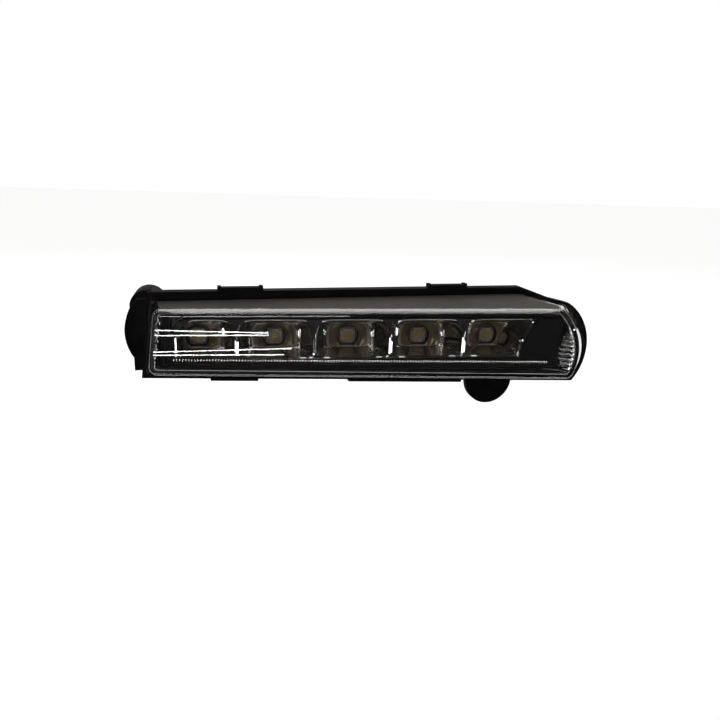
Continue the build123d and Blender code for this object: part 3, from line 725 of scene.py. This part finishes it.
def buildBezel():
    b, f = bezelForm, lensForm
    bm = bmesh.new()

    def addLoop(points):
        verts = [bm.verts.new(p) for p in points]
        return verts, [bm.edges.new((verts[i], verts[(i + 1) % len(verts)])) for i in range(len(verts))]

    def join(first, second):
        for i in range(len(first)):
            after = (i + 1) % len(first)
            bm.faces.new((first[i], first[after], second[after], second[i]))

    def wallRing(depth, inset, panel=True):
        shape = lensLoop(0.0, -b["inset"] - inset, max(b["cornerLeast"], b["cornerR"] - inset))[0]
        x = np.minimum(shape[:, 0], panelRight(shape[:, 1]) - inset) if panel else shape[:, 0]
        x = np.maximum(x, f["left"] + b["leftSet"] + inset + f["leftLean"] * shape[:, 1])
        ceiling = shoulderZ(x, depth, -(b["inset"] + inset))
        return addLoop(toFrame(x, np.minimum(shape[:, 1], ceiling), depth))[0]

    flat = lensLoop(0.0, -b["inset"], b["cornerR"])[0]
    outer = [wallRing(f["rimDepth"] + rimSlope * flat[:, 0], 0.0, False)]
    outer.append(wallRing(b["front"] + b["edgeR"], 0.0))
    for turn in np.radians(b["edgeTurns"]):
        outer.append(wallRing(b["front"] + b["edgeR"] * (1 - math.sin(turn)),
                              b["edgeR"] * (1 - math.cos(turn))))
    for first, second in zip(outer, outer[1:]):
        join(first, second)
    last = outer[-1]
    faceEdges = [bm.edges.get((last[i], last[(i + 1) % len(last)])) for i in range(len(last))]
    windowVerts, _ = addLoop(windowLoop(b["front"] + b["windowEdge"]))
    softVerts, softEdges = addLoop(windowLoop(b["front"]))
    middle = Vector(toFrame(0.0, b["windowMiddle"], b["front"]))
    for vert in softVerts:
        away = Vector((vert.co.x - middle.x, 0, vert.co.z - middle.z))
        vert.co += away.normalized() * (b["windowEdge"] / perMetre)
    join(windowVerts, softVerts)
    backVerts, _ = addLoop(windowLoop(bowlForm["front"] - b["windowBack"]))
    join(backVerts, windowVerts)
    bmesh.ops.triangle_fill(bm, use_beauty=True, use_dissolve=False, edges=faceEdges + softEdges)
    bmesh.ops.recalc_face_normals(bm, faces=bm.faces)
    piece = addPiece("bezelMask", meshFrom(bm, "bezelMask"), "bezel_black")
    addSheet(piece, b["wall"], -1.0)
    return piece


# lower lips of the bezel: two steps along its bottom edge, each point as depth and z
lipForm = {
    "left": -79.5, "right": 94.0, "slices": 60, "fall": 0.0198,
    "steps": (((5.9, -5.7), (4.6, -5.7), (3.35, -7.05), (3.3, -7.1), (3.3, -7.65), (5.9, -7.65)),
              ((4.7, -7.7), (3.15, -7.7), (2.9, -7.95), (2.9, -9.35), (3.1, -9.6), (4.7, -9.6))),
}


def addLips(piece):
    s = lipForm
    bm = bmesh.new()
    for shape in np.array(s["steps"]):
        rings = []
        for x in np.linspace(s["left"], s["right"], s["slices"]):
            rings.append(toFrame(x, shape[:, 1] - s["fall"] * x, shape[:, 0]))
        bm.from_mesh(ringMesh("lip", rings, capFirst=True, capLast=True))
    bmesh.ops.recalc_face_normals(bm, faces=bm.faces)
    bm.from_mesh(piece.data)
    mesh = meshFrom(bm, "bezelMask")
    mesh.materials.append(finish["bezel_black"])
    piece.data = mesh
    smoothMesh(mesh, bezelForm["sharp"])


bezel = buildBezel()
addLips(bezel)
settle(bezel, "bezel_black", "inner_bezel")

# fluted wall of the recess, from just inside the lens end back to behind the panel
recessForm = {
    "top": 12.4, "bottom": -12.4, "front": 4.7, "back": 8.0, "gap": 0.3, "behind": 1.2, "curve": 1.15,
    "flutes": 11, "bite": 0.8, "sideBite": 0.75, "deepBite": 0.3, "biteFrom": 0.15, "biteRun": 0.7,
    "cornerR": 0.8, "endFrom": 90.0, "foremost": 0.3, "rows": 176, "columns": 14, "sheet": 0.4, "sharp": 50,
}


def buildRecess():
    r = recessForm
    end = lensLoop(r["front"], -lensForm["wall"] - r["gap"], r["cornerR"])[0]
    end = end[end[:, 0] > r["endFrom"]]
    end = end[np.argsort(end[:, 1])]
    share = np.linspace(0, 1, r["rows"])
    z = r["top"] + (r["bottom"] - r["top"]) * share
    outerX = np.interp(z, end[:, 1], end[:, 0])
    innerX = panelRight(z) + r["behind"]
    ridge = r["bite"] * (1.0 - np.abs(np.sin(np.pi * r["flutes"] * share)))
    rings = []
    for s in np.linspace(0, 1, r["columns"]):
        swell = math.sin(math.pi * (r["biteFrom"] + r["biteRun"] * s))
        x = outerX + (innerX - outerX) * s - ridge * r["sideBite"] * swell
        depth = r["front"] + (r["back"] - r["front"]) * s ** r["curve"] - ridge * r["deepBite"]
        rings.append(toFrame(x, z, np.maximum(depth, r["front"] - r["foremost"])))
    piece = addPiece("endRecess", ringMesh("endRecess", rings, wrap=False), "reflector_dim")
    mesh = addSheet(piece, r["sheet"], 0.0)
    outwardFaces(mesh)
    smoothMesh(mesh, r["sharp"])
    settle(piece, "reflector_metal")


buildRecess()
print("bezel built")

# rib row along the upper lip
ribForm = {
    "left": -77.0, "right": 92.5, "pitch": 1.24, "depth": 3.97, "z": -6.38,
    "size": (0.46, 1.7, 0.5), "tilt": 47.0, "radius": 0.5, "segments": 10, "rings": 6,
}


# geometry nodes: a stretched ball on every point of a line
def ribTree():
    tree = bpy.data.node_groups.new("ribRow", "GeometryNodeTree")
    tree.is_modifier = True
    sockets = tree.interface
    sockets.new_socket("Geometry", in_out="INPUT", socket_type="NodeSocketGeometry")
    kinds = {"Count": "Int", "Start": "Vector", "Step": "Vector", "Rib size": "Vector", "Tilt": "Vector",
             "Finish": "Material"}
    for label, kind in kinds.items():
        sockets.new_socket(label, in_out="INPUT", socket_type="NodeSocket" + kind)
    sockets.new_socket("Geometry", in_out="OUTPUT", socket_type="NodeSocketGeometry")
    add, link = tree.nodes.new, tree.links.new
    given = add("NodeGroupInput").outputs
    end = add("NodeGroupOutput")
    row = add("GeometryNodeMeshLine")
    row.mode = "OFFSET"
    link(given["Count"], row.inputs["Count"])
    link(given["Start"], row.inputs["Start Location"])
    link(given["Step"], row.inputs["Offset"])
    rib = add("GeometryNodeMeshUVSphere")
    rib.inputs["Segments"].default_value = ribForm["segments"]
    rib.inputs["Rings"].default_value = ribForm["rings"]
    rib.inputs["Radius"].default_value = ribForm["radius"]
    shape = add("GeometryNodeTransform")
    link(rib.outputs["Mesh"], shape.inputs["Geometry"])
    link(given["Rib size"], shape.inputs["Scale"])
    link(given["Tilt"], shape.inputs["Rotation"])
    put = add("GeometryNodeInstanceOnPoints")
    link(row.outputs["Mesh"], put.inputs["Points"])
    link(shape.outputs["Geometry"], put.inputs["Instance"])
    real = add("GeometryNodeRealizeInstances")
    link(put.outputs["Instances"], real.inputs["Geometry"])
    soft = add("GeometryNodeSetShadeSmooth")
    link(real.outputs["Geometry"], soft.inputs["Geometry"])
    paint = add("GeometryNodeSetMaterial")
    link(soft.outputs["Geometry"], paint.inputs["Geometry"])
    link(given["Finish"], paint.inputs["Material"])
    link(paint.outputs["Geometry"], end.inputs["Geometry"])
    return tree


def buildRibs():
    r = ribForm
    fall = lipForm["fall"]
    count = int((r["right"] - r["left"]) / r["pitch"]) + 1
    start = toFrame(r["left"], r["z"] - fall * r["left"], r["depth"])
    values = {
        "Count": count,
        "Start": tuple(float(v) for v in start),
        "Step": (r["pitch"] / perMetre, 0.0, -fall * r["pitch"] / perMetre),
        "Rib size": tuple(v / perMetre for v in r["size"]),
        "Tilt": (math.radians(r["tilt"]), 0.0, 0.0),
        "Finish": finish["reflector_metal"],
    }
    piece = addObject("ribRow", bpy.data.meshes.new("ribRow"))
    modifier = piece.modifiers.new("ribs", "NODES")
    modifier.node_group = ribTree()
    for item in modifier.node_group.interface.items_tree:
        if item.in_out == "INPUT" and item.name in values:
            modifier[item.identifier] = values[item.name]
    mesh = bakeModifiers(piece)
    mesh.materials.clear()
    mesh.materials.append(finish["reflector_metal"])
    settle(piece, "reflector_metal")
    print("rib row:", count, "ribs")


buildRibs()

# LED packages with a dished face, corner dots and a phosphor dome
ledForm = {
    "size": 6.7, "height": 1.2, "face": 24.0, "bevel": 0.25, "bevelMid": 0.07, "cornerR": 0.35,
    "cornerTurns": (0, 22.5, 45, 67.5, 90), "rim": 0.75, "dishFrom": 0.85, "dishTo": 1.0, "dish": 0.12,
    "dotAt": 2.7, "dotR": 0.5, "dotTop": 0.8, "dotRise": 0.06, "dotEdge": 0.02, "dotSink": 0.1,
    "phosphorR": 2.75, "phosphorRise": 0.45, "phosphorPoints": 40, "phosphorRings": 8, "phosphorSharp": 50,
    "dotPoints": 12, "sharp": 35,
}


def ledBody(x0, top):
    s = ledForm
    half, r = s["size"] / 2, s["cornerR"]
    rings = []
    for inset, depth in ((0.0, s["face"]), (0.0, top + s["bevel"]), (s["bevelMid"], top + s["bevelMid"]),
                         (s["bevel"], top), (s["rim"], top), (s["dishFrom"], top + s["dish"]),
                         (s["dishTo"], top + s["dish"])):
        loop = []
        for cx, cz in ((1, 1), (-1, 1), (-1, -1), (1, -1)):
            base = math.atan2(cz, cx) - math.pi / 4
            for turn in np.radians(s["cornerTurns"]):
                loop.append((x0 + cx * (half - inset - r) + r * math.cos(base + turn),
                             cz * (half - inset - r) + r * math.sin(base + turn)))
        loop = np.array(loop)
        rings.append(toFrame(loop[:, 0], loop[:, 1], depth))
    return ringMesh("ledBody", rings, capFirst=True, capLast=True)


def buildLed(index):
    s = ledForm
    x0, top = bowlX(index), s["face"] - s["height"]
    mesh = ledBody(x0, top)
    plain = len(mesh.polygons)
    bm = bmesh.new()
    bm.from_mesh(mesh)
    bmesh.ops.recalc_face_normals(bm, faces=bm.faces)
    turn = np.linspace(0, 2 * math.pi, s["dotPoints"], endpoint=False)
    dotFront = top - s["dotRise"]
    for cx, cz in ((-1, -1), (-1, 1), (1, -1), (1, 1)):
        dot = [circle(x0 + cx * s["dotAt"], cz * s["dotAt"], s["dotR"] * k, turn, depth) for k, depth in
               ((1.0, top + s["dotSink"]), (1.0, dotFront + s["dotEdge"]), (s["dotTop"], dotFront))]
        bm.from_mesh(ringMesh("dot", dot, capFirst=True, capLast=True))
    bmesh.ops.recalc_face_normals(bm, faces=bm.faces)
    bm.to_mesh(mesh)
    bm.free()
    body = addPiece(f"ledBody{index + 1}", mesh, "led_package")
    mesh.materials.append(finish["component_black"])
    for polygon in mesh.polygons[plain:]:
        polygon.material_index = 1
    smoothMesh(mesh, s["sharp"])
    settle(body, "led_package", f"led_{index + 1}")
    turn = np.linspace(0, 2 * math.pi, s["phosphorPoints"], endpoint=False)
    dome = []
    for k in np.linspace(0, 1, s["phosphorRings"])[:-1]:
        depth = top + s["dish"] - s["phosphorRise"] * k
        dome.append(circle(x0, 0.0, s["phosphorR"] * math.sqrt(1 - k * k), turn, depth))
    domeMesh = ringMesh("ledPhosphor", dome, capFirst=True, capLast=True)
    outwardFaces(domeMesh)
    smoothMesh(domeMesh, s["phosphorSharp"])
    phosphor = addPiece(f"ledPhosphor{index + 1}", domeMesh, "led_phosphor")
    settle(phosphor, "led_phosphor", f"led_phosphor_{index + 1}")


for index in range(bowlForm["count"]):
    buildLed(index)
print("LEDs built")

# housing and small parts: merged copies of the CAD nodes with softened edges
softForm = {"mergeMm": 0.004, "flat": 1.0, "bevelFrom": 30, "sharp": 32}
softPieces = {
    "rearHousing": {"node": "rear_housing", "slot": "housing_black", "width": 0.35, "segments": 2},
    "breatherCap": {"node": "breather_cap", "slot": "seal_rubber", "width": 0.5, "segments": 3},
    "terminalPins": {"node": "terminal_pins", "slot": "pin_tin", "width": 0.15, "segments": 2},
}


def softCopy(name, s):
    mesh = nodes[s["node"]].data.copy()
    mesh.name = name
    bm = bmesh.new()
    bm.from_mesh(mesh)
    bmesh.ops.remove_doubles(bm, verts=bm.verts, dist=softForm["mergeMm"] / perMetre)
    flat = math.radians(softForm["flat"])
    bmesh.ops.dissolve_limit(bm, angle_limit=flat, verts=bm.verts, edges=bm.edges)
    bm.to_mesh(mesh)
    bm.free()
    piece = addPiece(name, mesh, s["slot"])
    bevel = piece.modifiers.new("softEdges", "BEVEL")
    bevel.width = s["width"] / perMetre
    bevel.segments = s["segments"]
    bevel.limit_method = "ANGLE"
    bevel.angle_limit = math.radians(softForm["bevelFrom"])
    bevel.use_clamp_overlap = True
    smoothMesh(bakeModifiers(piece), softForm["sharp"])
    settle(piece, s["slot"], s["node"])


for name, s in softPieces.items():
    softCopy(name, s)

# the nodes that stay as they are take the finish of their slot
slotOf = {part["node"]: part["material_slot"] for part in frame["record"]["subparts"]}
for nodeName, node in nodes.items():
    if node.hide_render:
        continue
    node.data.materials.clear()
    node.data.materials.append(finish[slotOf[nodeName]])
print("finishes given to the remaining nodes")

# studio
studio = {
    "floorDrop": 0.12, "floorFront": -0.09, "floorBack": 3.0, "floorHalf": 3.0,
    "floorGrey": 0.2, "floorRough": 0.9, "floorLift": 0.86,
    "roomTone": (1, 0.97, 0.94), "frontGrey": 0.03, "backGrey": 1.0, "backFrom": (-0.25, 0.35),
    "ceilingGrey": 0.05, "ceilingFrom": (-0.05, 0.30),
}


# pale floor that the camera, metal and glass see evenly lit
def buildFloor():
    s = studio
    low, high = cadBox
    middleX = (low[0] + high[0]) / 2
    left, right = middleX - s["floorHalf"], middleX + s["floorHalf"]
    near, far = s["floorFront"], s["floorBack"]
    corners = ((left, near), (right, near), (right, far), (left, far))
    mesh = bpy.data.meshes.new("floor")
    mesh.from_pydata([(x, y, low[2] - s["floorDrop"]) for x, y in corners], [], [(0, 1, 2, 3)])
    mat, tree, shader = startFinish("floorPale")
    shader.inputs["Base Color"].default_value = (*(s["floorGrey"],) * 3, 1.0)
    shader.inputs["Roughness"].default_value = s["floorRough"]
    shader.inputs["Specular IOR Level"].default_value = 0.0
    shader.inputs["Emission Color"].default_value = (1, 1, 1, 1)
    paths = tree.nodes.new("ShaderNodeLightPath").outputs
    seen = paths["Is Camera Ray"]
    for ray in ("Is Glossy Ray", "Is Transmission Ray"):
        seen = addMath(tree, "MAXIMUM", seen, paths[ray])
    tree.links.new(addMath(tree, "MULTIPLY", seen, s["floorLift"]), shader.inputs["Emission Strength"])
    mesh.materials.append(mat)
    return addObject("floor", mesh)


floor = buildFloor()


# white for the camera; for other rays dark in front of the lamp, white behind it, a little paler upwards
def buildWorld():
    s = studio
    world = bpy.data.worlds.new("studioWorld")
    world.use_nodes = True
    bpy.context.scene.world = world
    tree = world.node_tree
    tree.nodes.clear()
    end = tree.nodes.new("ShaderNodeOutputWorld")
    paths = tree.nodes.new("ShaderNodeLightPath").outputs
    way = addSplit(tree, tree.nodes.new("ShaderNodeTexCoord").outputs["Generated"])
    behind = addRange(tree, way["Y"], (s["frontGrey"], s["backGrey"]), s["backFrom"], smooth=True)
    ceiling = addRange(tree, way["Z"], (0.0, s["ceilingGrey"]), s["ceilingFrom"], smooth=True)
    around = tree.nodes.new("ShaderNodeBackground")
    around.inputs["Color"].default_value = (*s["roomTone"], 1)
    tree.links.new(addMath(tree, "MAXIMUM", behind, ceiling), around.inputs["Strength"])
    white = tree.nodes.new("ShaderNodeBackground")
    white.inputs["Color"].default_value = (1, 1, 1, 1)
    # rays that only went straight through the lens see the white too
    bounces = addMath(tree, "ADD", paths["Glossy Depth"], paths["Diffuse Depth"])
    straight = addMath(tree, "LESS_THAN", bounces, 0.5)
    through = addMath(tree, "MULTIPLY", straight, paths["Is Transmission Ray"])
    seen = addMath(tree, "MAXIMUM", paths["Is Camera Ray"], through)
    shown = addShaderMix(tree, seen, around.outputs["Background"], white.outputs["Background"])
    tree.links.new(shown, end.inputs["Surface"])


buildWorld()

# soft boxes, cards and thin tubes; glow is how bright the face is; outer cards show only on the outside
# of the lens, inner ones only in what lies behind it, and matt ones light only matt surfaces
lamps = {
    "topBox": {"place": (0.10, -0.25, 0.80), "aim": (0.10, -0.10, 0.0), "size": (0.8, 0.5), "glow": 2.4},
    "frontBox": {"place": (-0.25, -0.95, 0.85), "aim": (0.09, -0.03, 0.0), "size": (0.6, 0.5), "glow": 3.0},
    "backBox": {"place": (0.10, 0.80, 0.55), "aim": (0.10, 0.0, 0.0), "size": (0.9, 0.6),
                "glow": 6.0, "card": "matt"},
    "topCard": {"place": (0.20, -0.20, 0.86), "aim": (0.20, -0.20, 0.0), "size": (1.4, 1.35),
                "glow": 5.6, "card": "outer"},
    "frontCard": {"place": (0.10, -0.95, 0.50), "aim": (0.10, -0.03, 0.0), "size": (1.8, 0.70),
                  "glow": 3.6, "card": "outer"},
    "bottomCard": {"place": (0.12, -0.135, -0.135), "aim": (0.12, -0.04, 0.0), "size": (0.32, 0.07),
                   "glow": 4.0, "card": "outer"},
    "leftStrip": {"place": (-0.6, -0.45, 0.15), "aim": (0.0, -0.02, 0.0), "size": (0.10, 0.4),
                  "glow": 8.0, "card": "outer"},
    "highBar": {"place": (0.10, -1.20, 0.45), "aim": (0.09, -0.03, 0.0), "size": (1.6, 0.035),
                "glow": 11.0, "card": "inner"},
    "lowBar": {"place": (0.10, -1.20, 0.12), "aim": (0.09, -0.03, 0.0), "size": (1.6, 0.035),
               "glow": 11.0, "card": "inner"},
    "upperBar": {"place": (0.00, -0.55, -0.070), "aim": (0.05, -0.03, 0.0), "size": (0.36, 0.035),
                 "glow": 9.0, "card": "inner"},
    "leftPanel": {"place": (-0.35, -0.50, -0.20), "aim": (0.05, -0.02, 0.0), "size": (0.22, 0.045),
                  "glow": 14.0, "card": "inner"},
    "rightPanel": {"place": (0.75, -0.50, -0.25), "aim": (0.12, -0.02, 0.0), "size": (0.25, 0.05),
                   "glow": 14.0, "card": "inner"},
    "flutePanel": {"place": (-0.80, -0.62, -0.05), "aim": (0.19, -0.02, 0.0), "size": (0.30, 0.60),
                   "glow": 0.3, "card": "inner"},
    "ribCard": {"place": (0.10, -0.30, 0.80), "aim": (0.10, -0.03, 0.0), "size": (1.2, 0.22),
                "glow": 9.0, "card": "inner"},
}
tubes = {
    "tube1": ((-0.0791, -0.532, -0.1337), (0.0738, -0.532, -0.1382)),
    "tube2": ((-0.0590, -0.532, -0.1405), (0.0751, -0.532, -0.1412)),
    "tube3": ((-0.0781, -0.532, -0.1612), (0.1027, -0.532, -0.1582)),
    "tube4": ((-0.0610, -0.532, -0.1648), (0.0935, -0.532, -0.1660)),
}
tubeForm = {"thick": 0.0015, "glow": 24.0, "aim": (0.05, -0.03, -0.01)}


def addLamp(name, place, turn, size, glow, card=None):
    light = bpy.data.lights.new(name, "AREA")
    light.shape = "RECTANGLE"
    light.size, light.size_y = size
    light.energy = glow * math.pi * size[0] * size[1]
    lamp = addObject(name, light)
    lamp.matrix_world = Matrix.Translation(place) @ turn
    lamp.visible_camera = False
    lamp.visible_diffuse = card in (None, "matt")
    lamp.visible_transmission = card in (None, "inner")
    lamp.visible_glossy = card in (None, "outer")


for name, s in lamps.items():
    addLamp(name, s["place"], aimAt(s["place"], s["aim"]), s["size"], s["glow"], s.get("card"))
for name, ends in tubes.items():
    start, end = Vector(ends[0]), Vector(ends[1])
    middle = (start + end) / 2
    xAxis = (end - start).normalized()
    zAxis = middle - Vector(tubeForm["aim"])
    zAxis = (zAxis - xAxis * zAxis.dot(xAxis)).normalized()
    yAxis = zAxis.cross(xAxis)
    turn = Matrix((xAxis, yAxis, zAxis)).transposed().to_4x4()
    addLamp(name, middle, turn, ((end - start).length, tubeForm["thick"]), tubeForm["glow"], "outer")
print("studio set")
